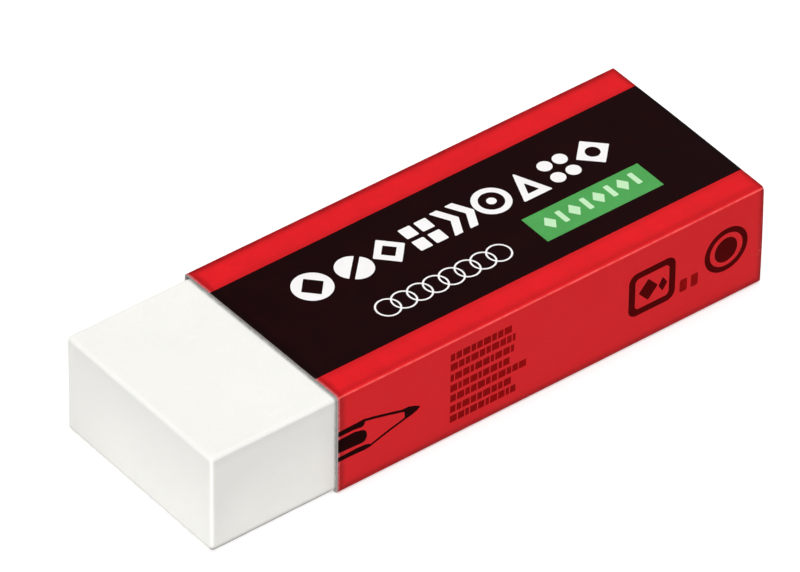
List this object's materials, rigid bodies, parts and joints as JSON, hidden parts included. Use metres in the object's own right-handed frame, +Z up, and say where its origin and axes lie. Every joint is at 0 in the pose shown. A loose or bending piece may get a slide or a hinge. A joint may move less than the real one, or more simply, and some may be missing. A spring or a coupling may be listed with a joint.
{
  "type": "rubber eraser",
  "caption": "Block eraser of white rubber held in a folded card sleeve with a red and black print, the block standing out of one end and sliding lengthwise.",
  "frame": {"origin": "centre of the underside of the whole eraser as it lies at rest, with the block standing out of the sleeve as in use", "axes": "+X along the block, from the end that rubs out towards the end inside the sleeve; +Y across the width, towards the side with the glued lap; +Z up, through the thickness"},
  "size_m": [0.065, 0.023, 0.0116],
  "materials": {
    "printed_card": "satin",
    "white_rubber": "matte"
  },
  "bodies": {
    "sleeve": {"card_sleeve": "printed_card"},
    "block": {"rubber_block": "white_rubber"}
  },
  "joints": [
    {"name": "block_slide", "type": "slide", "parent": "sleeve", "child": "block", "axis": [-1, 0, 0], "range_m": [-0.0143, 0.051]}
  ]
}
